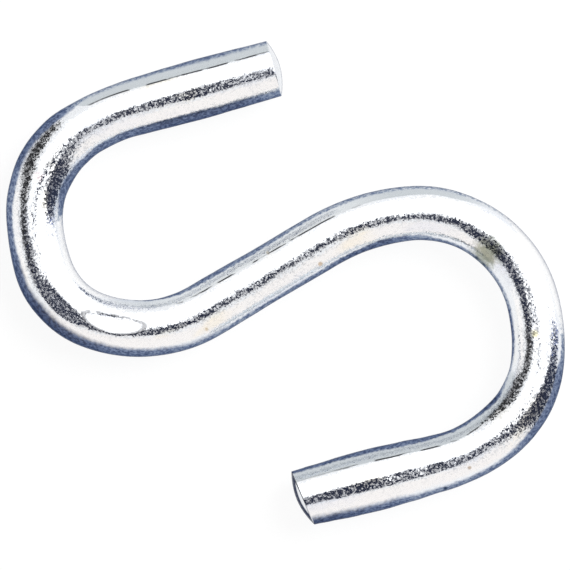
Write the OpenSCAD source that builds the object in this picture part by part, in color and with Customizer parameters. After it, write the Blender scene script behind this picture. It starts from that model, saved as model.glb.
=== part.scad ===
// Open S hook for light chain and cord, bent flat from one length of round plated steel rod.
// It lies on its side: X runs along its longest reach, and the origin is the middle of its
// outline, on the surface that it lies on. Bend radii are to the middle of the rod.

/* [Shank] */
// Diameter of the rod where it is straight
rod_d = 4.8; // [4:0.1:6]
// Straight length of the shank between the two hooks
shank_l = 11.7; // [7:0.1:20]
// Angle of the shank to the longest reach of the hook
shank_angle = 55.5; // [50:0.5:60]
// Length of the taper at each end of the shank, where the bends have drawn the rod
taper_l = 3; // [1:0.1:3]

/* [Wide hook] */
// Diameter of the rod round the bends
wide_bend_d = 4.6; // [4:0.1:5]
// Radius of the easy bend that leaves the shank
wide_lead_in_r = 17.5; // [14:0.5:22]
// Turn of the easy bend that leaves the shank
wide_lead_in_angle = 25; // [15:1:30]
// Radius of the shoulder
wide_shoulder_r = 10; // [8:0.5:13]
// Turn of the shoulder
wide_shoulder_angle = 82; // [70:1:90]
// Radius of the flatter bow between the shoulder and the heel
wide_bow_r = 15.5; // [12:0.5:20]
// Turn of the bow
wide_bow_angle = 18; // [10:1:25]
// Radius of the heel, where the load hangs
wide_heel_r = 8.5; // [7:0.5:11]
// Turn of the heel
wide_heel_angle = 38; // [30:1:45]
// Radius of the bend that runs out into the tail
wide_lead_out_r = 12.5; // [10:0.5:18]
// Turn of the bend that runs out into the tail
wide_lead_out_angle = 33; // [25:1:38]
// Straight length of the tail
wide_tail_l = 12; // [9:0.1:15]
// Diameter of the tail where it is fullest
wide_full_d = 5.4; // [5:0.1:6.4]
// Distance of the fullest place from the cut end
wide_full_at = 6; // [3:0.1:7]
// Diameter of the tail at its cut end
wide_end_d = 4.9; // [4:0.1:5]
// Slant of the cut away from square
wide_cut_angle = 9; // [0:1:15]

/* [Narrow hook] */
// Diameter of the rod round the bends
narrow_bend_d = 4.8; // [4:0.1:5]
// Radius of the easy bend that leaves the shank
narrow_lead_in_r = 11; // [9:0.5:14]
// Turn of the easy bend that leaves the shank
narrow_lead_in_angle = 52; // [42:1:58]
// Radius of the shoulder
narrow_shoulder_r = 7; // [6:0.5:9]
// Turn of the shoulder
narrow_shoulder_angle = 51; // [42:1:58]
// Radius of the flatter bow between the shoulder and the heel
narrow_bow_r = 16.5; // [12:0.5:20]
// Turn of the bow
narrow_bow_angle = 14; // [8:1:20]
// Radius of the heel, where the hook itself hangs
narrow_heel_r = 8.5; // [7:0.5:11]
// Turn of the heel
narrow_heel_angle = 63; // [55:1:70]
// Radius of the bend that runs out into the tail
narrow_lead_out_r = 19; // [14:0.5:25]
// Turn of the bend that runs out into the tail
narrow_lead_out_angle = 15; // [8:1:20]
// Straight length of the tail
narrow_tail_l = 12; // [9:0.1:15]
// Diameter of the tail where it is fullest
narrow_full_d = 5.1; // [5:0.1:6.4]
// Distance of the fullest place from the cut end
narrow_full_at = 6.4; // [3:0.1:7]
// Diameter of the tail at its cut end
narrow_end_d = 4.8; // [4:0.1:5]
// Slant of the cut away from square
narrow_cut_angle = 0; // [0:1:15]

/* [Cut ends] */
// Height of the low dome that cropping leaves on each cut end
dome_h = 0.5; // [0.2:0.1:1]

/* [Hidden] */
$fn = 64;

// Each bend of a hook in turn, from the shank to the tail, as its radius and its turn
WIDE_BENDS = [
    [wide_lead_in_r, wide_lead_in_angle],
    [wide_shoulder_r, wide_shoulder_angle],
    [wide_bow_r, wide_bow_angle],
    [wide_heel_r, wide_heel_angle],
    [wide_lead_out_r, wide_lead_out_angle],
];
NARROW_BENDS = [
    [narrow_lead_in_r, narrow_lead_in_angle],
    [narrow_shoulder_r, narrow_shoulder_angle],
    [narrow_bow_r, narrow_bow_angle],
    [narrow_heel_r, narrow_heel_angle],
    [narrow_lead_out_r, narrow_lead_out_angle],
];

// A straight piece is this much fuller all round than the bend it takes in, and takes in this
// much of it, so that the two join as one
SEAT_STEP = 0.01;
SEAT_L = 0.1;

// Each end of a bend goes this many degrees too far, which is too little to measure, so that
// rounding leaves no gap between one bend and the next
BEND_LAP = 1e-7;

// Rod that a tail has to spare before its end is cut
SPARE_L = 2;

// Share of a bend between two places where its reach is measured
BEND_SHARE = 1 / 64;

// Whole steps that a move takes first, in each millimetre
MOVE_STEPS = 1000;

// A place on the middle line is its x, its y and the heading of the rod there.
// Both hooks bend clockwise as they leave the shank.
function ahead(p, l) = [p[0] + l * cos(p[2]), p[1] + l * sin(p[2]), p[2]];
function bend_centre(p, r) = [p[0] + r * sin(p[2]), p[1] - r * cos(p[2])];
function bent(p, r, a) = [
    p[0] + r * (sin(p[2]) - sin(p[2] - a)),
    p[1] + r * (cos(p[2] - a) - cos(p[2])),
    p[2] - a
];

// The place where a row of bends ends
function bends_end(p, bends, i = 0) =
    i == len(bends) ? p : bends_end(bent(p, bends[i][0], bends[i][1]), bends, i + 1);

// Places all along a row of bends
function bends_places(p, bends, i = 0) =
    i == len(bends) ? [p] :
    concat(
        [for (share = [0:BEND_SHARE:1 - BEND_SHARE]) bent(p, bends[i][0], share * bends[i][1])],
        bends_places(bent(p, bends[i][0], bends[i][1]), bends, i + 1)
    );

// The first and the last place of each hook's bends
wide_start = ahead([0, 0, shank_angle], shank_l / 2);
wide_end = bends_end(wide_start, WIDE_BENDS);
narrow_start = ahead([0, 0, shank_angle + 180], shank_l / 2);
narrow_end = bends_end(narrow_start, NARROW_BENDS);

// The two edges of the rod's outline at a place, where a cut may cross the rod at a slant
function edges(p, d, slant = 0) = [
    for (u = [-d / 2, d / 2])
        [
            p[0] - u * (sin(p[2]) + tan(slant) * cos(p[2])),
            p[1] + u * (cos(p[2]) - tan(slant) * sin(p[2]))
        ]
];

// Every point of the outline that could reach the furthest
OUTLINE = concat(
    [for (p = bends_places(wide_start, WIDE_BENDS)) each edges(p, wide_bend_d)],
    edges(ahead(wide_end, wide_tail_l), wide_end_d, wide_cut_angle),
    [for (p = bends_places(narrow_start, NARROW_BENDS)) each edges(p, narrow_bend_d)],
    edges(ahead(narrow_end, narrow_tail_l), narrow_end_d, narrow_cut_angle)
);
outline_x = [for (p = OUTLINE) p[0]];
outline_y = [for (p = OUTLINE) p[1]];

// Middle of the outline, and the height of the middle line over the surface
middle_x = (min(outline_x) + max(outline_x)) / 2;
middle_y = (min(outline_y) + max(outline_y)) / 2;
lie_z = max(rod_d, wide_full_d, narrow_full_d) / 2;

// Moves a piece without turning it. The whole steps go first and the small rest after, which
// keeps all the digits of a place, so that neighbouring bends meet face to face.
module move_to(p) {
    x = round(p[0] * MOVE_STEPS) / MOVE_STEPS;
    y = round(p[1] * MOVE_STEPS) / MOVE_STEPS;
    translate([x, y, 0])
        translate([p[0] - x, p[1] - y, 0])
            children();
}

// Turns and moves a piece that runs along X, to run on from a place on the middle line
module run_from(p) {
    translate([p[0], p[1], 0])
        rotate([0, 0, p[2]])
            children();
}

// Rod round a row of bends
module bends(p, list, d, i = 0) {
    if (i < len(list)) {
        r = list[i][0];
        a = list[i][1];
        move_to(bend_centre(p, r))
            rotate_extrude(angle = a + 2 * BEND_LAP, start = p[2] + 90 - a - BEND_LAP)
                translate([r, 0])
                    circle(d = d);
        bends(bent(p, r, a), list, d, i + 1);
    }
}

// Solid turned about X from a profile of distances along X and radii
module turned(profile) {
    first = profile[0];
    last = profile[len(profile) - 1];
    rotate([0, 90, 0])
        rotate_extrude()
            polygon(concat(
                [[0, first[0]]],
                [for (p = profile) [p[1], p[0]]],
                [[0, last[0]]]
            ));
}

// Straight rod between the two hooks, drawn thinner towards their bends
module shank() {
    half_l = shank_l / 2;
    turned([
        [-half_l - SEAT_L, narrow_bend_d / 2 + SEAT_STEP],
        [taper_l - half_l, rod_d / 2],
        [half_l - taper_l, rod_d / 2],
        [half_l + SEAT_L, wide_bend_d / 2 + SEAT_STEP],
    ]);
}

// All that lies beyond a cropped end: a low dome whose rim crosses the rod at a slant. The ball's
// poles lie across the rod, so that its seam doesn't meet the rod's seam at the rim.
module beyond_end(d, slant) {
    rim_r = d / 2 / cos(slant);
    ball_r = (rim_r * rim_r + dome_h * dome_h) / (2 * dome_h);
    rotate([0, 0, slant])
        translate([dome_h - ball_r, 0, 0])
            difference() {
                translate([0, -2 * ball_r, -2 * ball_r])
                    cube([2 * ball_r + SPARE_L, 4 * ball_r, 4 * ball_r]);
                rotate([90, 0, 0])
                    sphere(r = ball_r);
            }
}

// Straight tail of a hook, swollen before its cropped end
module tail(l, bend_d, full_d, full_at, end_d, slant) {
    narrowing = (full_d - end_d) / full_at;
    difference() {
        turned([
            [-SEAT_L, bend_d / 2 + SEAT_STEP],
            [l - full_at, full_d / 2],
            [l + SPARE_L, (end_d - narrowing * SPARE_L) / 2],
        ]);
        translate([l, 0, 0])
            beyond_end(end_d, slant);
    }
}

// The whole hook, from the middle of its shank outwards both ways
module s_hook() {
    color("silver")
        translate([-middle_x, -middle_y, lie_z]) {
            run_from([0, 0, shank_angle])
                shank();
            bends(wide_start, WIDE_BENDS, wide_bend_d);
            run_from(wide_end)
                tail(wide_tail_l, wide_bend_d, wide_full_d, wide_full_at, wide_end_d, wide_cut_angle);
            bends(narrow_start, NARROW_BENDS, narrow_bend_d);
            run_from(narrow_end)
                tail(narrow_tail_l, narrow_bend_d, narrow_full_d, narrow_full_at, narrow_end_d,
                     narrow_cut_angle);
        }
}

s_hook();
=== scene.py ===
# Open S hook of zinc-plated steel rod, bent flat, on a pale studio floor.
# Sizes are in metres and turns in degrees. X runs along the hook's longest reach and Z up.
import math
from collections import namedtuple

import bmesh
import bpy
from bpy.props import FloatProperty, FloatVectorProperty, IntProperty, PointerProperty
from mathutils import Matrix, Vector, noise


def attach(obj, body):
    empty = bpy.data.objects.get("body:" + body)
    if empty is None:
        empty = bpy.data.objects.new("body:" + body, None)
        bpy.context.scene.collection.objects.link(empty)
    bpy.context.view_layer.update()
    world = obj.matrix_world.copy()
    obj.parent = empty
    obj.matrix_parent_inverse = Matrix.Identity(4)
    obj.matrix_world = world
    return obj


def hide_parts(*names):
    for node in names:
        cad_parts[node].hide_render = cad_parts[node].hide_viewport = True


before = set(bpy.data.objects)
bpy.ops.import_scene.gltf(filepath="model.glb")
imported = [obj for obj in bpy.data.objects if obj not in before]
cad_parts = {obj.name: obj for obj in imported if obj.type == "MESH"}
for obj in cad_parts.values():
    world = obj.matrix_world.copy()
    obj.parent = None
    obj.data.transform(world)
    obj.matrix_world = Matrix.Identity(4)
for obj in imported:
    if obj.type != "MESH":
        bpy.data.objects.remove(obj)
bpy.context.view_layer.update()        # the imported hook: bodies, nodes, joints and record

bl_info = {
    "name": "Open S Hook",
    "version": (1, 0, 0),
    "blender": (4, 5, 0),
    "location": "View3D > Sidebar > S Hook",
    "description": "Zinc-plated S hook bent from round rod, with a soft studio round it",
    "category": "Add Mesh",
}

# The shank: its middle, on the rod's middle line and in the hook's own frame, half its length
# and its heading. Then the length of each tail.
SHANK_MIDDLE = Vector((-0.00196, -0.000408, 0.0027))
SHANK_HALF = 0.00585
SHANK_HEADING = 55.5
TAIL_LENGTH = 0.012

# Length of tail over which the rings turn from square to the slant of the cut
CUT_REACH = 0.0035

# Points closer than this are one where two runs of the rod meet
SEAM_REACH = 0.000001

# Bends of each hook in turn, from the shank to the tail: radius of the middle line and turn
WIDE_BENDS = ((0.0175, 25), (0.010, 82), (0.0155, 18), (0.0085, 38), (0.0125, 33))
NARROW_BENDS = ((0.011, 52), (0.007, 51), (0.0165, 14), (0.0085, 63), (0.019, 15))

# Thickness of the drawn rod at distances from the middle of the shank, where bending and
# cropping have stretched or squeezed it
WIDE_GIRTHS = (
    (0.0, 0.00477), (0.005, 0.00480), (0.010, 0.00472), (0.015, 0.00462), (0.019, 0.00450),
    (0.024, 0.00448), (0.029, 0.00450), (0.033, 0.00452), (0.0365, 0.00470), (0.040, 0.00480),
    (0.0435, 0.00475), (0.046, 0.00490), (0.0485, 0.00518), (0.051, 0.00538), (0.0535, 0.00528),
    (0.056, 0.00503), (0.0575, 0.00488),
)
NARROW_GIRTHS = (
    (0.0, 0.00477), (0.0025, 0.00486), (0.005, 0.00492), (0.0075, 0.00488), (0.0105, 0.00481),
    (0.014, 0.00484), (0.018, 0.00490), (0.0205, 0.00496), (0.0255, 0.00478), (0.028, 0.00490),
    (0.031, 0.00508), (0.0335, 0.00502), (0.036, 0.00478), (0.0385, 0.00474), (0.041, 0.00492),
    (0.0435, 0.00504), (0.046, 0.00509), (0.0487, 0.00502), (0.0525, 0.00486),
)

# Reflections painted on the plating, by distance from the middle of the shank, on the side that
# faces out of the hook and the side that faces into it. A row has the place round the rod where
# a painted pale grey reflection starts, as the sine of the angle from its top, then the leans
# from the view, as sines too, where a painted dark reflection starts and where it is full, and
# the share of light that this painted dark reflection lets through.
NO_GREY_REFLECTION = 1.2
NO_DARK_REFLECTION = 1.6
WIDE_OUT_REFLECTIONS = (
    (0.0, (0.58, 0.82, 0.88, 0.27)), (0.006, (0.57, 0.85, 0.91, 0.36)),
    (0.0115, (0.63, 0.84, 0.91, 0.40)), (0.0165, (0.68, 0.86, 0.94, 0.50)),
    (0.0205, (0.84, 0.88, 0.97, 0.80)), (0.023, (NO_GREY_REFLECTION, 0.70, 0.80, NO_DARK_REFLECTION)),
    (0.028, (NO_GREY_REFLECTION, 0.74, 0.84, NO_DARK_REFLECTION)), (0.0315, (NO_GREY_REFLECTION, 0.84, 0.90, 0.38)),
    (0.034, (NO_GREY_REFLECTION, 0.66, 0.76, 0.20)), (0.037, (NO_GREY_REFLECTION, 0.66, 0.78, 0.20)),
    (0.042, (NO_GREY_REFLECTION, 0.76, 0.88, 0.27)), (0.0475, (NO_GREY_REFLECTION, 0.75, 0.90, 0.30)),
    (0.050, (NO_GREY_REFLECTION, 0.66, 0.86, 0.20)), (0.056, (NO_GREY_REFLECTION, 0.63, 0.86, 0.12)),
)
WIDE_IN_REFLECTIONS = (
    (0.0, (NO_GREY_REFLECTION, 0.82, 0.90, 0.25)), (0.004, (NO_GREY_REFLECTION, 0.81, 0.89, 0.24)),
    (0.008, (NO_GREY_REFLECTION, 0.79, 0.87, 0.16)), (0.011, (NO_GREY_REFLECTION, 0.74, 0.80, 0.16)),
    (0.014, (NO_GREY_REFLECTION, 0.76, 0.84, 0.27)), (0.017, (NO_GREY_REFLECTION, 0.83, 0.93, 0.26)),
    (0.026, (NO_GREY_REFLECTION, 0.83, 0.94, 0.40)), (0.029, (NO_GREY_REFLECTION, 0.84, 0.94, 0.18)),
    (0.032, (NO_GREY_REFLECTION, 0.86, 0.95, 0.26)), (0.035, (0.70, 0.92, 0.98, 0.45)),
    (0.038, (0.66, 0.80, 0.88, 0.12)), (0.041, (0.60, 0.86, 0.91, 0.20)),
    (0.0445, (0.58, 0.86, 0.92, 0.18)), (0.0475, (0.58, 0.79, 0.86, 0.20)),
    (0.0575, (0.62, 0.86, 0.93, 0.17)),
)
NARROW_IN_REFLECTIONS = (
    (0.0, (0.58, 0.82, 0.88, 0.27)), (0.004, (0.58, 0.81, 0.86, 0.25)),
    (0.007, (0.60, 0.86, 0.91, 0.27)), (0.010, (0.69, 0.93, 0.97, 0.22)),
    (0.013, (0.77, 0.95, 1.00, 0.80)), (0.017, (0.90, 0.76, 0.86, NO_DARK_REFLECTION)),
    (0.020, (NO_GREY_REFLECTION, 0.70, 0.80, NO_DARK_REFLECTION)), (0.0245, (NO_GREY_REFLECTION, 0.74, 0.86, 1.2)),
    (0.0275, (NO_GREY_REFLECTION, 0.74, 0.84, 0.23)), (0.030, (NO_GREY_REFLECTION, 0.64, 0.74, 0.19)),
    (0.0325, (NO_GREY_REFLECTION, 0.70, 0.80, 0.20)), (0.034, (NO_GREY_REFLECTION, 0.75, 0.82, 0.19)),
    (0.037, (NO_GREY_REFLECTION, 0.70, 0.78, 0.20)), (0.043, (NO_GREY_REFLECTION, 0.64, 0.72, 0.15)),
    (0.0485, (NO_GREY_REFLECTION, 0.67, 0.76, 0.15)), (0.0525, (NO_GREY_REFLECTION, 0.70, 0.82, 0.26)),
)
NARROW_OUT_REFLECTIONS = (
    (0.0, (NO_GREY_REFLECTION, 0.82, 0.90, 0.25)), (0.004, (NO_GREY_REFLECTION, 0.81, 0.90, 0.33)),
    (0.007, (NO_GREY_REFLECTION, 0.73, 0.92, 0.26)), (0.010, (NO_GREY_REFLECTION, 0.66, 0.84, 0.22)),
    (0.013, (NO_GREY_REFLECTION, 0.61, 0.80, 0.19)), (0.016, (NO_GREY_REFLECTION, 0.54, 0.78, 0.12)),
    (0.019, (NO_GREY_REFLECTION, 0.52, 0.74, 0.09)), (0.022, (NO_GREY_REFLECTION, 0.62, 0.80, 0.15)),
    (0.025, (NO_GREY_REFLECTION, 0.74, 0.82, 0.23)), (0.028, (NO_GREY_REFLECTION, 0.73, 0.80, 0.25)),
    (0.031, (NO_GREY_REFLECTION, 0.68, 0.84, 0.17)), (0.034, (NO_GREY_REFLECTION, 0.66, 0.76, 0.17)),
    (0.037, (0.60, 0.84, 0.96, 0.42)), (0.043, (0.58, 0.84, 0.93, 0.32)),
    (0.047, (0.56, 0.78, 0.92, 0.26)), (0.0525, (0.57, 0.82, 0.96, 0.42)),
)

# Tint that the painted dark reflection gives to the plating, by the share of light that it
# lets through
DARK_REFLECTION_TINTS = (
    (0.05, (0.040, 0.045, 0.075)), (0.13, (0.088, 0.115, 0.20)), (0.26, (0.195, 0.245, 0.37)),
    (0.45, (0.40, 0.46, 0.55)), (0.75, (0.84, 0.87, 0.91)), (0.95, (1.0, 1.0, 1.0)),
)

# A row like those above for each cut face, where the painted dark reflection is only along the
# far edge of the dome
WIDE_CUT_REFLECTIONS = (NO_GREY_REFLECTION, 0.950, 0.966, 0.045)
NARROW_CUT_REFLECTIONS = (NO_GREY_REFLECTION, 0.985, 1.000, 0.60)

# Flats that the bending tools pressed in each hook: distance from the middle of the shank, half
# length, angle from the top towards the inner side, depth, and height of the step round them
WIDE_FLATS = ((0.0500, 0.0100, -6.0, 0.000040, 0.0),)
NARROW_FLATS = (
    (0.0188, 0.0025, -9.0, 0.000085, 0.0),
    (0.0139, 0.0028, 5.0, 0.000132, 0.000050),
    (0.0470, 0.0080, 5.0, 0.000024, 0.0),
)

# Depth within a flat over which its step comes in, and what the pressed layer holds at its border
STEP_REACH = 0.00006
STEP_BORDER = 2.0

# A hook's heading as it leaves the shank, its shape, painted reflections and flats, how much the
# rod's height follows its girth, and whether distances along it count up or down from the middle
# of the shank
Hook = namedtuple("Hook", "heading bends girths height_share in_film out_film cut_film flats sense")
WIDE_HOOK = Hook(
    heading=SHANK_HEADING, bends=WIDE_BENDS, girths=WIDE_GIRTHS, height_share=1.0,
    in_film=WIDE_IN_REFLECTIONS, out_film=WIDE_OUT_REFLECTIONS, cut_film=WIDE_CUT_REFLECTIONS, flats=WIDE_FLATS,
    sense=1)
NARROW_HOOK = Hook(
    heading=SHANK_HEADING + 180, bends=NARROW_BENDS, girths=NARROW_GIRTHS, height_share=0.35,
    in_film=NARROW_IN_REFLECTIONS, out_film=NARROW_OUT_REFLECTIONS, cut_film=NARROW_CUT_REFLECTIONS,
    flats=NARROW_FLATS, sense=-1)

# Rings of a cropped end: shares of the rim's quarter turn, then shares of the dome's radius
RIM_SHARES = (0.25, 0.5, 0.75, 1.0)
DOME_SHARES = (0.97, 0.92, 0.84, 0.74, 0.62, 0.48, 0.34, 0.2, 0.08)

# Slight waves that bending left in the rod: repeats in a metre of the broad and the fine ones,
# and the height of the fine ones as a share of the broad ones' and their shift
BROAD_WAVES = 260
FINE_WAVES = 700
FINE_SHARE = 0.5
FINE_SHIFT = Vector((5, 0, 0))

# Small stains on the upper face: place, radius and tint
STAINS = (
    ((0.00194, 0.00253), 0.00026, (0.70, 0.58, 0.46)),
    ((-0.00246, 0.00150), 0.00022, (0.72, 0.66, 0.58)),
    ((-0.00442, -0.00655), 0.00026, (0.74, 0.66, 0.54)),
    ((0.02073, -0.00775), 0.00022, (0.62, 0.54, 0.46)),
    ((0.02095, 0.00484), 0.00050, (0.80, 0.74, 0.50)),
    ((0.01440, 0.00940), 0.00175, (0.42, 0.43, 0.34)),
    ((-0.02277, -0.00085), 0.00060, (0.95, 0.84, 0.84)),
    ((0.01964, -0.01023), 0.00024, (0.30, 0.34, 0.38)),
)


class HookSizes(bpy.types.PropertyGroup):
    """Sizes of the bent rod that the CAD model leaves to the finish"""

    rod_thickness: FloatProperty(
        name="Rod Thickness", description="Thickness of the rod at the middle of its shank",
        default=0.00477, min=0.003, max=0.008, unit="LENGTH", precision=5)
    ring_step: FloatProperty(
        name="Ring Step", description="Distance between two rings of the mesh along the rod",
        default=0.00022, min=0.0001, max=0.002, unit="LENGTH", precision=5)
    sides: IntProperty(
        name="Sides", description="Number of faces round the rod",
        default=120, min=24, max=256)
    dome: FloatProperty(
        name="Dome Height", description="Height of the low dome on each cropped end",
        default=0.0005, min=0.0, max=0.002, unit="LENGTH", precision=5)
    rim: FloatProperty(
        name="Rim Radius", description="Radius that rounds the rim of each cropped end",
        default=0.00009, min=0.00002, max=0.0005, unit="LENGTH", precision=5)
    wide_slant: FloatProperty(
        name="Wide Cut Slant", description="Slant of the wide hook's cut away from square",
        default=math.radians(9), min=0.0, max=0.5, subtype="ANGLE")
    waviness: FloatProperty(
        name="Waviness", description="Height of the slight waves that bending left in the rod",
        default=0.000022, min=0.0, max=0.0002, unit="LENGTH", precision=6)


class ZincFinish(bpy.types.PropertyGroup):
    """Colours and polish of the zinc plating, and colours of its painted reflections"""

    plate: FloatVectorProperty(
        name="Plate", description="Colour of the clean bright plating",
        default=(0.86, 0.88, 0.91), subtype="COLOR", min=0.0, max=1.0)
    cool: FloatVectorProperty(
        name="Cool Film", description="Colour where the passivated film is bluest",
        default=(0.80, 0.83, 0.90), subtype="COLOR", min=0.0, max=1.0)
    warm: FloatVectorProperty(
        name="Warm Film", description="Colour where the passivated film is yellowest",
        default=(0.88, 0.86, 0.80), subtype="COLOR", min=0.0, max=1.0)
    grazing: FloatVectorProperty(
        name="Grazing Tint", description="Tint of the plating at grazing angles",
        default=(0.75, 0.78, 0.85), subtype="COLOR", min=0.0, max=1.0)
    # Colours of the pale grey reflection that is painted on the flanks
    haze: FloatVectorProperty(
        name="Grey Reflection", description="Colour under the pale haze on the flanks",
        default=(0.58, 0.62, 0.65), subtype="COLOR", min=0.0, max=1.0)
    light_grey_reflection: FloatVectorProperty(
        name="Light Haze", description="Colour under the haze where the shank is straight",
        default=(0.76, 0.79, 0.81), subtype="COLOR", min=0.0, max=1.0)
    # Tint under the painted dark reflection at grazing angles
    dark_reflection_grazing: FloatVectorProperty(
        name="Dark Grazing Tint", description="Tint of the darker film at grazing angles",
        default=(0.38, 0.40, 0.46), subtype="COLOR", min=0.0, max=1.0)
    cropped: FloatVectorProperty(
        name="Cropped End", description="Colour of the cut faces",
        default=(0.80, 0.82, 0.85), subtype="COLOR", min=0.0, max=1.0)
    polish: FloatProperty(
        name="Roughness", description="Roughness of the bright plating",
        default=0.11, min=0.0, max=1.0, subtype="FACTOR")
    dullness: FloatProperty(
        name="Facet Dullness", description="Most roughness that the dullest facets add",
        default=0.26, min=0.0, max=1.0, subtype="FACTOR")
    facets: FloatProperty(
        name="Facet Tilt", description="Most that the fine facets of the plating tilt",
        default=0.05, min=0.0, max=1.0, subtype="FACTOR")
    grain: FloatProperty(
        name="Grain Depth", description="Depth of the drawn rod's unevenness",
        default=0.000024, min=0.0, max=0.0002, unit="LENGTH", precision=6)


class HookStudio(bpy.types.PropertyGroup):
    """Floor, light and camera"""

    camera_height: FloatProperty(
        name="Camera Height", description="Height of the camera over the rod's middle line",
        default=0.5, min=0.1, max=2.0, unit="LENGTH")
    frame_width: FloatProperty(
        name="Frame Width", description="Width that the camera sees at the rod's middle line",
        default=0.048485, min=0.01, max=0.5, unit="LENGTH", precision=5)
    camera_turn: FloatProperty(
        name="Camera Turn", description="Turn of the camera about the vertical",
        default=math.radians(25.05), subtype="ANGLE")
    ambient: FloatProperty(
        name="Ambient", description="Level of the even light from all round",
        default=0.56, min=0.0, max=2.0)
    floor: FloatVectorProperty(
        name="Floor", description="Colour of the floor",
        default=(0.92, 0.92, 0.92), subtype="COLOR", min=0.0, max=1.0)


# Bent rod


class Place:
    """A place on the rod's middle line, with the heading there and the way come so far"""

    def __init__(self, centre, heading, way=0.0):
        self.centre = centre
        self.heading = heading
        self.way = way

    def direction(self):
        turn = math.radians(self.heading)
        return Vector((math.cos(turn), math.sin(turn), 0.0))

    def ahead(self, length):
        return Place(self.centre + self.direction() * length, self.heading, self.way + length)

    def right(self):
        way_on = self.direction()
        return Vector((way_on.y, -way_on.x, 0.0))

    def bent(self, radius, turn):
        middle = self.centre + self.right() * radius
        rotation = Matrix.Rotation(math.radians(-turn), 3, "Z")
        return Place(middle + rotation @ (self.centre - middle), self.heading - turn,
                     self.way + radius * math.radians(turn))


class Ring:
    """One ring of the rod's mesh and the place that it was made at"""

    def __init__(self, place, verts):
        self.place = place
        self.verts = verts

    def scale(self, across, height):
        for vert in self.verts:
            offset = vert.co - self.place.centre
            vert.co = self.place.centre + Vector(
                (offset.x * across, offset.y * across, offset.z * height))

    def slant(self, turn):
        """Shears the ring along the rod, so that its right side runs ahead"""
        way_on, right = self.place.direction(), self.place.right()
        for vert in self.verts:
            vert.co += way_on * ((vert.co - self.place.centre).dot(right) * math.tan(turn))

    def record(self, layers, sense, in_film, out_film):
        """Keeps where each point was before the rod was bent, and the painted reflections on its
        side
        """
        place = self.place
        for vert in self.verts:
            if vert.is_valid:
                offset = vert.co - place.centre
                side = offset.dot(place.right())
                vert[layers.float_vector["unbent"]] = (
                    sense * (place.way + offset.dot(place.direction())), sense * side, offset.z)
                # The film layer holds where the painted grey and dark reflections go on this side
                vert[layers.float_color["film"]] = in_film if side > 0 else out_film

    def press(self, layers, flats, radius):
        """Presses the flats of the bending tools into the ring"""
        pressed = layers.float["pressed"]
        up = Vector((0.0, 0.0, 1.0))
        for way, half_length, angle, depth, step in flats:
            share = 1 - ((self.place.way - way) / half_length) ** 2
            turn = math.radians(angle)
            towards = up * math.cos(turn) + self.place.right() * math.sin(turn)
            for vert in self.verts if share > -1 else ():
                offset = vert.co - self.place.centre
                excess = offset.dot(towards) - radius + depth * share
                if step:
                    level = excess / STEP_REACH + STEP_BORDER
                    vert[pressed] = min(max(level, 0.0), 2 * STEP_BORDER)
                if excess > 0:
                    edge = smooth_value(((0.0, 0.0), (STEP_REACH, 1.0)), excess)
                    vert.co -= towards * (excess + step * share * edge)


def picked(geometry, kind):
    return [item for item in geometry if isinstance(item, kind)]


def take_mesh(bm, name):
    """Mesh of a finished bmesh"""
    mesh = bpy.data.meshes.new(name)
    bm.to_mesh(mesh)
    bm.free()
    return mesh


def smooth_value(stops, at):
    """Value between the stops, eased so that it has no kink at a stop"""
    if at <= stops[0][0]:
        return stops[0][1]
    for (start, low), (end, high) in zip(stops, stops[1:]):
        if at <= end:
            share = (at - start) / (end - start)
            return low + (high - low) * share * share * (3 - 2 * share)
    return stops[-1][1]


def smooth_row(stops, at):
    """The same for stops that hold a row of values"""
    return tuple(smooth_value([(way, row[index]) for way, row in stops], at)
                 for index in range(len(stops[0][1])))


def crop_end(bm, end, edges, sizes, thickness, slant):
    """Closes the rod with a rounded rim and a low dome, and returns the rings of both"""
    flat = thickness / 2 - sizes.rim
    cut_face = bm.verts.layers.float["cut_face"]
    profile = []
    for share in RIM_SHARES:
        angle = math.radians(90 * share)
        profile.append((flat + sizes.rim * math.cos(angle), sizes.rim * math.sin(angle), share))
    for share in DOME_SHARES:
        profile.append((flat * share, sizes.rim + sizes.dome * (1 - share * share), 1.0))
    way_on = Matrix.Rotation(slant, 3, "Z") @ end.direction()
    caps = []
    radius, height = thickness / 2, 0.0
    for next_radius, next_height, cut_share in profile:
        made = bmesh.ops.extrude_edge_only(bm, edges=edges)["geom"]
        verts = picked(made, bmesh.types.BMVert)
        kept = set(verts)
        edges = [edge for edge in picked(made, bmesh.types.BMEdge)
                 if edge.verts[0] in kept and edge.verts[1] in kept]
        bmesh.ops.scale(bm, verts=verts, vec=(next_radius / radius,) * 3,
                        space=Matrix.Translation(-end.centre - way_on * height))
        bmesh.ops.translate(bm, verts=verts, vec=way_on * (next_height - height))
        for vert in verts:
            vert[cut_face] = cut_share
        radius, height = next_radius, next_height
        caps.append(Ring(end, verts))
    bmesh.ops.pointmerge(bm, verts=caps[-1].verts,
                         merge_co=end.centre + way_on * (sizes.rim + sizes.dome))
    return caps


def spun_run(start, places, sizes, move):
    """Spins or slides a ring of the rod along one bend or one straight"""
    bm = bmesh.new()
    bm.verts.layers.float_vector.new("unbent")
    # The film layer holds where the painted grey and dark reflections go
    bm.verts.layers.float_color.new("film")
    bm.verts.layers.float.new("cut_face")
    bm.verts.layers.float.new("pressed")
    stand = (Matrix.Translation(start.centre)
             @ start.direction().to_track_quat("Z", "Y").to_matrix().to_4x4())
    circle = bmesh.ops.create_circle(bm, cap_ends=False, segments=sizes.sides,
                                     radius=sizes.rod_thickness / 2, matrix=stand)["verts"]
    made = bmesh.ops.spin(bm, geom=circle + list(bm.edges), steps=len(places), use_merge=False,
                          use_normal_flip=False, use_duplicate=False, **move)["geom_last"]
    verts = list(bm.verts)
    rings = [Ring(place, verts[index * sizes.sides:(index + 1) * sizes.sides])
             for index, place in enumerate([start, *places])]
    return bm, rings, picked(made, bmesh.types.BMEdge)


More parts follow.
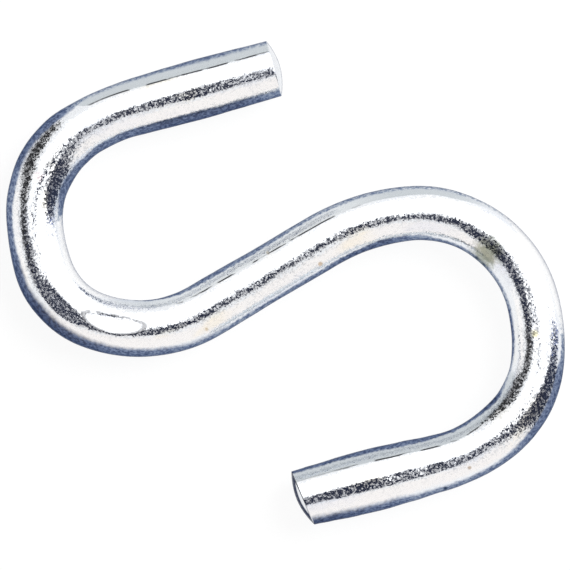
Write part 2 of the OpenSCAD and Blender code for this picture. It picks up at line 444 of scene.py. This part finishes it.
def hook_runs(heading, bends, step):
    """Each straight and bend of one hook: where it starts, its places and how it is spun"""
    start = Place(SHANK_MIDDLE, heading)
    for radius, turn in ((SHANK_HALF, 0), *bends, (TAIL_LENGTH, 0)):
        if turn:
            count = max(1, round(radius * math.radians(turn) / step))
            places = [start.bent(radius, turn * (n + 1) / count) for n in range(count)]
            move = {"cent": start.centre + start.right() * radius, "axis": (0, 0, 1),
                    "dvec": (0, 0, 0), "angle": -math.radians(turn)}
        else:
            count = max(1, round(radius / step))
            places = [start.ahead(radius * (n + 1) / count) for n in range(count)]
            move = {"cent": start.centre, "axis": (0, 0, 1),
                    "dvec": start.direction() * (radius / count), "angle": 0.0}
        yield start, places, move
        start = places[-1]


def bend_hook(whole, hook, sizes, slant):
    """Adds one hook to the rod, from the middle of the shank to its cropped end"""
    runs = list(hook_runs(hook.heading, hook.bends, sizes.ring_step))
    end = runs[-1][1][-1]
    for start, places, move in runs:
        bm, rings, edges = spun_run(start, places, sizes, move)
        layers = bm.verts.layers
        for ring in rings:
            way = ring.place.way
            girth = smooth_value(hook.girths, way)
            height = sizes.rod_thickness + (girth - sizes.rod_thickness) * hook.height_share
            ring.scale(girth / sizes.rod_thickness, height / sizes.rod_thickness)
            ring.slant(slant * smooth_value(((0.0, 1.0), (CUT_REACH, 0.0)), end.way - way))
            ring.record(layers, hook.sense, smooth_row(hook.in_film, way),
                        smooth_row(hook.out_film, way))
            ring.press(layers, hook.flats, height / 2)
        if places[-1] is end:
            thickness = smooth_value(hook.girths, end.way)
            for ring in crop_end(bm, end, edges, sizes, thickness, slant):
                ring.record(layers, hook.sense, hook.cut_film, hook.cut_film)
        mesh = take_mesh(bm, "run")
        whole.from_mesh(mesh)
        bpy.data.meshes.remove(mesh)


def wave_height(place):
    """Height of the slight waves at a place, as a share of the broad ones'"""
    return (noise.noise(place * BROAD_WAVES)
            + FINE_SHARE * noise.noise(place * FINE_WAVES + FINE_SHIFT))


def make_bent_rod(sizes):
    bm = bmesh.new()
    bend_hook(bm, WIDE_HOOK, sizes, sizes.wide_slant)
    bend_hook(bm, NARROW_HOOK, sizes, 0.0)
    bmesh.ops.remove_doubles(bm, verts=bm.verts, dist=SEAM_REACH)
    bmesh.ops.recalc_face_normals(bm, faces=bm.faces)
    bm.normal_update()
    waves = [vert.normal * sizes.waviness * wave_height(vert.co) for vert in bm.verts]
    for vert, wave in zip(bm.verts, waves):
        vert.co += wave
    mesh = take_mesh(bm, "bent_rod")
    mesh.shade_smooth()
    return mesh


# Zinc plating, with painted reflections and shade

# Repeats in a metre of the patterns in the plating and in its painted reflections
CLOUD_GRAIN = 420
GREY_REFLECTION_GRAIN = 800
DRAWN_GRAIN = 1100
LINE_GRAIN = 1500
STAIN_GRAIN = 2400
MOTTLE_GRAIN = 2600
DARK_REFLECTION_GRAIN = 3600
FACET_GRAIN = 8000

# Share of a pattern's repeats that drawing left along the rod
DRAWN_SHARE = 0.35

# Levels of the clouds over which the cool tint, the warm tint and the roughness come in, and the
# most that the clouds add to the roughness or take from it
COOL_CLOUDS = (0.54, 0.74)
WARM_CLOUDS = (0.44, 0.26)
ROUGH_CLOUDS = (0.3, 0.7)
CLOUD_ROUGHNESS = 0.03

# Levels of the facets' own random number over which they turn duller
DULL_FACETS = (0.35, 1.0)

# How the painted grey reflection comes in past its border, how it fades as its start moves down
# the flank, and the distances from the middle of the shank over which its light grey gives way to
# the full one
GREY_REFLECTION_EDGE = (0.0, 0.02)
GREY_REFLECTION_FADE = (0.92, 0.64)
GREY_REFLECTION_DARKENING = (0.007, 0.013)

# How far noise moves the borders of the painted grey and dark reflections, as sines
GREY_REFLECTION_WANDER = 0.045
DARK_REFLECTION_WANDER = 0.12

# Share of the turn round a cropped rim over which the painted dark reflection's border stops
# wandering
STEADY_CUT = (0.3, 0.0)

# Mottle of the painted dark reflection: the levels of its noise, and what they multiply its
# light by
DARK_REFLECTION_MOTTLE = (0.34, 0.66, 0.6, 1.5)

# Fine dark lines, painted: a reflected border along the painted grey reflection, and shade along
# the step of a pressed flat and on one side of the wide hook's rim. For each, where it comes in,
# where it goes out, and its tone
Line = namedtuple("Line", "rise fall tone")
GREY_REFLECTION_LINE = Line((-0.015, 0.005), (0.055, 0.035), (0.07, 0.073, 0.08))
STEP_SHADE_LINE = Line((1.45, 1.9), (2.8, 2.3), (0.36, 0.365, 0.38))
RIM_SHADE_LINE = Line((0.04, 0.25), (1.0, 0.8), (0.03, 0.03, 0.035))

# What breaks or fades them: the painted grey reflection's start and noise for the first, noise
# for the second, and the place along and across the rod for the third, which shows on one side of
# the wide hook's rim
GREY_REFLECTION_LINE_FADE = (0.63, 0.59)
GREY_REFLECTION_LINE_BREAKS = (0.44, 0.54)
STEP_SHADE_BREAKS = (0.36, 0.5, 0.3, 1.0)
RIM_SHADE_ALONG = (0.0, 0.01, 0.12, 1.0)
RIM_SHADE_ACROSS = (-0.0014, 0.0002, 0.25, 1.0)

# Shares of a stain's radius where it starts and where it is full, and how far a face has to look
# up to be stained
STAIN_START = 1.5
STAIN_FULL = 0.8
STAIN_UPWARD = (0.0, 0.2)

WHITE = (1.0, 1.0, 1.0)


class Nodes:
    """Short ways to add and join a material's nodes"""

    def __init__(self, tree):
        self.tree = tree
        tree.nodes.clear()

    def add(self, kind, **values):
        node = self.tree.nodes.new(kind)
        for name, value in values.items():
            setattr(node, name, value)
        return node

    def join(self, output, target):
        self.tree.links.new(output, target)

    def feed(self, value, target):
        if isinstance(value, bpy.types.NodeSocket):
            self.join(value, target)
        elif isinstance(value, (int, float)):
            target.default_value = value
        else:
            missing = len(target.default_value) - len(value)
            target.default_value = (*value, *[1.0] * missing)

    def math(self, operation, first, second=0.0, clamp=False):
        node = self.add("ShaderNodeMath", operation=operation, use_clamp=clamp)
        self.feed(first, node.inputs[0])
        self.feed(second, node.inputs[1])
        return node.outputs[0]

    def product(self, first, *others):
        for value in others:
            first = self.math("MULTIPLY", first, value)
        return first

    def vector(self, operation, first, second=(0.0, 0.0, 0.0)):
        node = self.add("ShaderNodeVectorMath", operation=operation)
        self.feed(first, node.inputs[0])
        self.feed(second, node.inputs[1])
        return node.outputs[0]

    def blend(self, share, first, second, mode="MIX"):
        node = self.add("ShaderNodeMix", data_type="RGBA", blend_type=mode)
        self.feed(share, node.inputs[0])
        self.feed(first, node.inputs[6])
        self.feed(second, node.inputs[7])
        return node.outputs[2]

    def band(self, value, start, end, low=0.0, high=1.0):
        """Eased step from low to high as the value goes from start to end"""
        node = self.add("ShaderNodeMapRange", clamp=True, interpolation_type="SMOOTHSTEP")
        for socket, number in zip(node.inputs, (value, start, end, low, high)):
            self.feed(number, socket)
        return node.outputs[0]

    def line(self, colour, kind, value, *shares):
        """Colour with a line drawn over it where the value is between its ranges"""
        strength = self.product(self.band(value, *kind.rise), self.band(value, *kind.fall), *shares)
        return self.blend(strength, colour, kind.tone)

    def noise(self, vector, scale, detail=2, roughness=0.6):
        node = self.add("ShaderNodeTexNoise")
        self.join(vector, node.inputs["Vector"])
        for name, number in (("Scale", scale), ("Detail", detail), ("Roughness", roughness)):
            node.inputs[name].default_value = number
        return node.outputs["Fac"]

    def wander(self, vector, scale, reach, detail=2):
        """Noise about nought"""
        level = self.noise(vector, scale, detail)
        return self.product(self.math("SUBTRACT", level, 0.5), reach)

    def split(self, vector):
        node = self.add("ShaderNodeSeparateXYZ")
        self.join(vector, node.inputs[0])
        return node.outputs

    def ramp(self, value, stops):
        node = self.add("ShaderNodeValToRGB")
        self.join(value, node.inputs[0])
        elements = node.color_ramp.elements
        for element, (position, colour) in zip(elements, (stops[0], stops[-1])):
            element.position = position
            element.color = (*colour, 1.0)
        for position, colour in stops[1:-1]:
            elements.new(position).color = (*colour, 1.0)
        return node.outputs[0]

    def stretched(self, vector, scale):
        node = self.add("ShaderNodeMapping")
        self.join(vector, node.inputs["Vector"])
        node.inputs["Scale"].default_value = scale
        return node.outputs["Vector"]

    def attribute(self, name):
        return self.add("ShaderNodeAttribute", attribute_name=name,
                        attribute_type="GEOMETRY").outputs

    def seen_directly(self):
        """One for what the camera sees by itself or in the plating, and nought for other light"""
        rays = self.add("ShaderNodeLightPath").outputs
        seen = self.math("MAXIMUM", rays["Is Camera Ray"], rays["Is Glossy Ray"])
        return self.math("MAXIMUM", seen, rays["Is Transmission Ray"])


def new_material(name):
    """Material with nothing in it but the output, with its nodes and the output's surface"""
    material = bpy.data.materials.new(name)
    material.use_nodes = True
    nodes = Nodes(material.node_tree)
    return material, nodes, nodes.add("ShaderNodeOutputMaterial").inputs["Surface"]


class Zinc:
    """What the layers of the plating and of its painted reflections and shade read, and the layers
    """

    def __init__(self, nodes, finish):
        self.nodes = nodes
        self.finish = finish
        coordinates = nodes.add("ShaderNodeTexCoord").outputs
        self.place = coordinates["Object"]
        self.upward = nodes.band(nodes.split(coordinates["Normal"])[2], *STAIN_UPWARD)
        unbent = nodes.attribute("unbent")["Vector"]
        self.along, self.across, self.up = nodes.split(unbent)
        self.drawn = nodes.stretched(unbent, (DRAWN_SHARE, 1.0, 1.0))
        self.clouds = nodes.noise(self.drawn, CLOUD_GRAIN, detail=3, roughness=0.55)
        self.cut = nodes.attribute("cut_face")["Fac"]
        # The film attribute holds where the painted grey reflection starts, where the painted dark
        # reflection starts and is full, and how much light it leaves
        film = nodes.attribute("film")
        self.haze_start, dark_reflection_start, dark_reflection_full = nodes.split(film["Vector"])
        self.dark_reflection_level = film["Alpha"]
        self.dark_reflection_share = self.leaning(dark_reflection_start, dark_reflection_full)
        cells = nodes.add("ShaderNodeTexVoronoi")
        nodes.join(self.place, cells.inputs["Vector"])
        cells.inputs["Scale"].default_value = FACET_GRAIN
        self.facets = cells.outputs["Color"]

    def leaning(self, start, full):
        """How far the surface leans away from the view, between two leans given as sines"""
        nodes = self.nodes
        weight = nodes.add("ShaderNodeLayerWeight")
        weight.inputs["Blend"].default_value = 0.5
        square_on = nodes.math("SUBTRACT", 1.0, weight.outputs["Facing"])
        lean = nodes.math("SQRT", nodes.math("SUBTRACT", 1.0, nodes.product(square_on, square_on),
                                             clamp=True))
        wander = nodes.product(nodes.wander(self.place, MOTTLE_GRAIN, DARK_REFLECTION_WANDER),
                               nodes.band(self.cut, *STEADY_CUT))
        return nodes.band(nodes.math("ADD", lean, wander), start, full)

    def plate_colour(self):
        """Passivated film in cool and warm clouds, and clean plating on the cuts"""
        nodes, finish = self.nodes, self.finish
        colour = nodes.blend(nodes.band(self.clouds, *COOL_CLOUDS), finish.plate, finish.cool)
        colour = nodes.blend(nodes.band(self.clouds, *WARM_CLOUDS), colour, finish.warm)
        return nodes.blend(self.cut, colour, finish.cropped)

    def grey_reflected(self, colour):
        """Painted grey reflection on the flanks, with a fine broken dark line along its border"""
        nodes, start = self.nodes, self.haze_start
        side = nodes.math("ARCTAN2", self.across, self.up)
        side = nodes.math("ABSOLUTE", nodes.math("SINE", side))
        side = nodes.math("ADD", side, nodes.wander(self.drawn, GREY_REFLECTION_GRAIN, GREY_REFLECTION_WANDER, detail=3))
        border = nodes.math("SUBTRACT", side, start)
        haze = nodes.product(nodes.band(border, *GREY_REFLECTION_EDGE), nodes.band(start, *GREY_REFLECTION_FADE))
        darkness = nodes.band(nodes.math("ABSOLUTE", self.along), *GREY_REFLECTION_DARKENING)
        tone = nodes.blend(darkness, self.finish.light_grey_reflection, self.finish.haze)
        breaks = nodes.band(nodes.noise(self.drawn, LINE_GRAIN), *GREY_REFLECTION_LINE_BREAKS)
        return nodes.line(nodes.blend(haze, colour, tone), GREY_REFLECTION_LINE, border,
                          nodes.band(start, *GREY_REFLECTION_LINE_FADE), breaks)

    def dark_reflected(self, colour):
        """Painted dark reflection where the surface leans away from the view"""
        nodes = self.nodes
        mottle = nodes.band(nodes.noise(self.place, DARK_REFLECTION_GRAIN), *DARK_REFLECTION_MOTTLE)
        tint = nodes.ramp(nodes.product(self.dark_reflection_level, mottle), DARK_REFLECTION_TINTS)
        return nodes.blend(self.dark_reflection_share, colour, tint)

    def step_shaded(self, colour):
        """Thin line of painted shade round the flat that the bending tool pressed with a step"""
        nodes = self.nodes
        breaks = nodes.band(nodes.noise(self.place, LINE_GRAIN), *STEP_SHADE_BREAKS)
        return nodes.line(colour, STEP_SHADE_LINE, nodes.attribute("pressed")["Fac"], breaks)

    def stained(self, colour):
        """Small ragged stains on the upper face"""
        nodes = self.nodes
        level = nodes.stretched(self.place, (1.0, 1.0, 0.0))
        ragged = nodes.noise(self.place, STAIN_GRAIN)
        for stain, radius, tone in STAINS:
            gap = nodes.add("ShaderNodeVectorMath", operation="DISTANCE")
            nodes.join(level, gap.inputs[0])
            gap.inputs[1].default_value = (*stain, 0.0)
            reach = nodes.math("ADD", gap.outputs["Value"], nodes.product(ragged, radius))
            edge = nodes.band(reach, STAIN_START * radius, STAIN_FULL * radius)
            colour = nodes.blend(nodes.product(edge, self.upward), colour, tone, "MULTIPLY")
        return colour

    def rim_shaded(self, colour):
        """Dark line of painted shade on one side of the wide hook's rim"""
        nodes = self.nodes
        return nodes.line(colour, RIM_SHADE_LINE, self.cut, nodes.band(self.along, *RIM_SHADE_ALONG),
                          nodes.band(self.across, *RIM_SHADE_ACROSS))

    def roughness(self):
        """Clouded polish, with some facets duller than others"""
        nodes, polish = self.nodes, self.finish.polish
        rough = nodes.band(self.clouds, *ROUGH_CLOUDS, polish - CLOUD_ROUGHNESS,
                           polish + CLOUD_ROUGHNESS)
        dull = nodes.band(nodes.split(self.facets)[0], *DULL_FACETS, 0.0, self.finish.dullness)
        return nodes.math("ADD", rough, dull)

    def normal(self):
        """Fine facets of the plated surface over the broader unevenness of the drawn rod"""
        nodes = self.nodes
        bump = nodes.add("ShaderNodeBump")
        bump.inputs["Strength"].default_value = 1.0
        bump.inputs["Distance"].default_value = self.finish.grain
        nodes.join(nodes.noise(self.drawn, DRAWN_GRAIN, roughness=0.5), bump.inputs["Height"])
        tilt = nodes.vector("SUBTRACT", self.facets, (0.5, 0.5, 0.5))
        tilt = nodes.vector("MULTIPLY", tilt, (2 * self.finish.facets,) * 3)
        return nodes.vector("NORMALIZE", nodes.vector("ADD", bump.outputs[0], tilt))

    def edge_tint(self):
        """Tint at grazing angles, none on the cuts, a dark one under the painted dark reflection"""
        sheen = self.nodes.blend(self.cut, self.finish.grazing, WHITE)
        return self.nodes.blend(self.dark_reflection_share, sheen, self.finish.dark_reflection_grazing)


def make_zinc(finish):
    material, nodes, surface = new_material("zinc_plate_bright")
    plate = nodes.add("ShaderNodeBsdfPrincipled")
    nodes.join(plate.outputs[0], surface)
    plate.inputs["Metallic"].default_value = 1.0
    zinc = Zinc(nodes, finish)
    colour = zinc.plate_colour()
    # The painted grey and dark reflections and the painted shade lines go over the plating's
    # colour, and so do its real stains
    for layer in (zinc.grey_reflected, zinc.dark_reflected, zinc.step_shaded, zinc.stained, zinc.rim_shaded):
        colour = layer(colour)
    nodes.join(colour, plate.inputs["Base Color"])
    nodes.join(zinc.roughness(), plate.inputs["Roughness"])
    nodes.join(zinc.normal(), plate.inputs["Normal"])
    nodes.join(zinc.edge_tint(), plate.inputs["Specular Tint"])
    return material


# Studio

# Cards that only the plating mirrors. Each has its distance, its light and its corners, as degrees
# away from straight up, to the right and to the top of the camera's frame.
CARDS = (
    ("key_panel", 4.00, (1.7, 1.7, 1.7), (
        (-30, 54), (-27, 30), (-26, 10), (-20, -2), (0, -8), (25, -10), (48, -2), (72, 6),
        (100, 14), (88, 50), (66, 76), (44, 72), (20, 70), (0, 64), (-16, 60))),
    ("cream_panel", 4.00, (1.09, 1.035, 0.99), (
        (-50, -40), (-20, -44), (10, -34), (30, -36), (76, -62), (60, -76), (0, -92),
        (-50, -78), (-64, -60))),
    ("left_panel", 4.00, (1.14, 1.10, 1.06), (
        (-66, -8), (-70, 10), (-86, 24), (-92, 0), (-84, -32), (-60, -26))),
    ("left_flag", 3.52, (0.03, 0.03, 0.032), (
        (-28, -2), (-34, 10), (-38, 22), (-40, 36), (-42, 46), (-44, 56), (-58, 70),
        (-66, 78), (-78, 62), (-84, 36), (-68, 20), (-60, 8), (-55, -10))),
    ("low_flag", 3.52, (0.026, 0.031, 0.056), (
        (-28, -2), (-20, -4), (-12, -5), (-7, -3), (-3, 3), (1, 4), (4, -1), (8, -6), (13, -9),
        (32, -14), (54, -6), (60, 5), (92, 9), (92, -48), (74, -53), (47, -34), (24, -28),
        (13, -20), (7, -25), (0, -26), (-9, -34), (-24, -38), (-36, -33), (-51, -23),
        (-56, -9))),
    ("sky_card", 3.20, (0.30, 0.60, 1.00), ((62, -17), (86, -16), (86, -26), (66, -27))),
    ("violet_card", 3.20, (0.13, 0.22, 0.60), ((55, 3), (92, 8), (92, -14), (60, -9))),
)

# The soft light: the way to it, as for the cards' corners, its distance, size and watts
SOFT_LIGHT = ((35, 25), 0.6, 0.5, 2.2)

FLOOR_RADIUS = 4.0
FLOOR_SIDES = 96

# Light that the floor shows to the camera and the plating, and how much of its own shading is
# mixed in
FLOOR_GLOW = 1.08
FLOOR_SHADING = 0.2

# Light that the room shows to the camera and the plating
ROOM_GLOW = 1.0

# Place on the ground that the camera is over, and the width of its sensor in millimetres
CAMERA_PLACE = (0.0, -0.00035)
SENSOR_WIDTH = 36.0


def sky_point(right, up, distance, turn):
    """Point at a polar angle from straight up, given in the camera's frame"""
    polar = math.radians(math.hypot(right, up))
    azimuth = math.atan2(up, right) + turn
    return Vector((math.sin(polar) * math.cos(azimuth), math.sin(polar) * math.sin(azimuth),
                   math.cos(polar))) * distance


def add_object(name, data):
    made = bpy.data.objects.new(name, data)
    bpy.context.collection.objects.link(made)
    return made


def make_card(name, distance, light, corners, turn):
    """Flat card seen only in the plating"""
    bm = bmesh.new()
    verts = [bm.verts.new(sky_point(*corner, distance, turn)) for corner in corners]
    centre = bm.verts.new(sum((vert.co for vert in verts), Vector()) / len(verts))
    for first, second in zip(verts, verts[1:] + verts[:1]):
        bm.faces.new((first, second, centre))
    mesh = take_mesh(bm, name)
    material, nodes, surface = new_material(name)
    glow = nodes.add("ShaderNodeEmission")
    glow.inputs["Color"].default_value = (*light, 1.0)
    nodes.join(glow.outputs[0], surface)
    mesh.materials.append(material)
    card = add_object(name, mesh)
    card.visible_camera = False
    card.visible_diffuse = False
    card.visible_transmission = False
    card.visible_volume_scatter = False
    card.visible_shadow = False


def floor_material(studio):
    """Matt floor that the camera and the plating see as an evenly lit, pale one"""
    material, nodes, surface = new_material("floor_pale")
    matt = nodes.add("ShaderNodeBsdfDiffuse")
    matt.inputs["Color"].default_value = (*studio.floor, 1.0)
    glow = nodes.add("ShaderNodeEmission")
    glow.inputs["Strength"].default_value = FLOOR_GLOW
    pale = nodes.add("ShaderNodeMixShader")
    pale.inputs[0].default_value = FLOOR_SHADING
    nodes.join(glow.outputs[0], pale.inputs[1])
    nodes.join(matt.outputs[0], pale.inputs[2])
    whole = nodes.add("ShaderNodeMixShader")
    nodes.join(nodes.seen_directly(), whole.inputs[0])
    nodes.join(matt.outputs[0], whole.inputs[1])
    nodes.join(pale.outputs[0], whole.inputs[2])
    nodes.join(whole.outputs[0], surface)
    return material


def make_floor(studio):
    bm = bmesh.new()
    bmesh.ops.create_circle(bm, cap_ends=True, segments=FLOOR_SIDES, radius=FLOOR_RADIUS)
    mesh = take_mesh(bm, "floor")
    mesh.materials.append(floor_material(studio))
    floor = add_object("floor", mesh)


def make_world(studio):
    world = bpy.data.worlds.new("pale_room")
    bpy.context.scene.world = world
    world.use_nodes = True
    nodes = Nodes(world.node_tree)
    output = nodes.add("ShaderNodeOutputWorld")
    room = nodes.add("ShaderNodeBackground")
    room.inputs["Color"].default_value = (*WHITE, 1.0)
    strength = nodes.band(nodes.seen_directly(), 0.0, 1.0, studio.ambient, ROOM_GLOW)
    nodes.join(strength, room.inputs["Strength"])
    nodes.join(room.outputs[0], output.inputs["Surface"])


def make_soft_light(turn):
    way, distance, size, watts = SOFT_LIGHT
    light = bpy.data.lights.new("soft_light", "AREA")
    light.shape = "DISK"
    light.size = size
    light.energy = watts
    lamp = add_object("soft_light", light)
    lamp.location = sky_point(*way, distance, turn)
    lamp.rotation_euler = (-lamp.location).to_track_quat("-Z", "Y").to_euler()
    lamp.visible_glossy = False


def make_camera(studio):
    data = bpy.data.cameras.new("camera")
    data.sensor_width = SENSOR_WIDTH
    data.lens = SENSOR_WIDTH * studio.camera_height / studio.frame_width
    data.clip_start = 0.02
    data.clip_end = 20.0
    camera = add_object("camera", data)
    camera.location = (*CAMERA_PLACE, SHANK_MIDDLE.z + studio.camera_height)
    camera.rotation_euler = (0.0, 0.0, studio.camera_turn)
    bpy.context.scene.camera = camera


# Operators and panel


class OBJECT_OT_hook_studio(bpy.types.Operator):
    """Make the pale floor, the soft light, the cards that the plating mirrors and the camera"""

    bl_idname = "object.hook_studio"
    bl_label = "Hook Studio"
    bl_options = {"REGISTER", "UNDO"}

    def execute(self, context):
        studio = context.scene.hook_studio
        make_world(studio)
        make_floor(studio)
        make_soft_light(studio.camera_turn)
        for card in CARDS:
            make_card(*card, studio.camera_turn)
        make_camera(studio)
        context.scene.view_settings.view_transform = "Standard"
        return {"FINISHED"}


class OBJECT_OT_bent_hook(bpy.types.Operator):
    """Bend the zinc-plated rod into the S hook that stands for the CAD model's"""

    bl_idname = "object.bent_hook"
    bl_label = "Bent Hook"
    bl_options = {"REGISTER", "UNDO"}

    def execute(self, context):
        mesh = make_bent_rod(context.scene.hook_sizes)
        if not mesh.polygons:
            raise RuntimeError("The rod has no faces")
        mesh.materials.append(make_zinc(context.scene.zinc_finish))
        hook = add_object("bent_rod", mesh)
        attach(hook, "root")
        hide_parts("s_hook")
        return {"FINISHED"}


class VIEW3D_PT_s_hook(bpy.types.Panel):
    """Sizes, finish and studio of the S hook"""

    bl_label = "S Hook"
    bl_idname = "VIEW3D_PT_s_hook"
    bl_space_type = "VIEW_3D"
    bl_region_type = "UI"
    bl_category = "S Hook"

    def draw(self, context):
        layout = self.layout
        layout.use_property_split = True
        for title, group, operator in (
                ("Rod", context.scene.hook_sizes, OBJECT_OT_bent_hook),
                ("Plating", context.scene.zinc_finish, None),
                ("Studio", context.scene.hook_studio, OBJECT_OT_hook_studio)):
            box = layout.box()
            box.label(text=title)
            for name in group.bl_rna.properties.keys():
                if name not in ("rna_type", "name"):
                    box.prop(group, name)
            if operator:
                box.operator(operator.bl_idname)


CLASSES = (HookSizes, ZincFinish, HookStudio, OBJECT_OT_bent_hook, OBJECT_OT_hook_studio,
           VIEW3D_PT_s_hook)


def register():
    for cls in CLASSES:
        bpy.utils.register_class(cls)
    bpy.types.Scene.hook_sizes = PointerProperty(type=HookSizes)
    bpy.types.Scene.zinc_finish = PointerProperty(type=ZincFinish)
    bpy.types.Scene.hook_studio = PointerProperty(type=HookStudio)


def unregister():
    del bpy.types.Scene.hook_studio
    del bpy.types.Scene.zinc_finish
    del bpy.types.Scene.hook_sizes
    for cls in reversed(CLASSES):
        bpy.utils.unregister_class(cls)


def main():
    register()
    bpy.ops.object.bent_hook()
    bpy.ops.object.hook_studio()


if __name__ == "__main__":
    main()
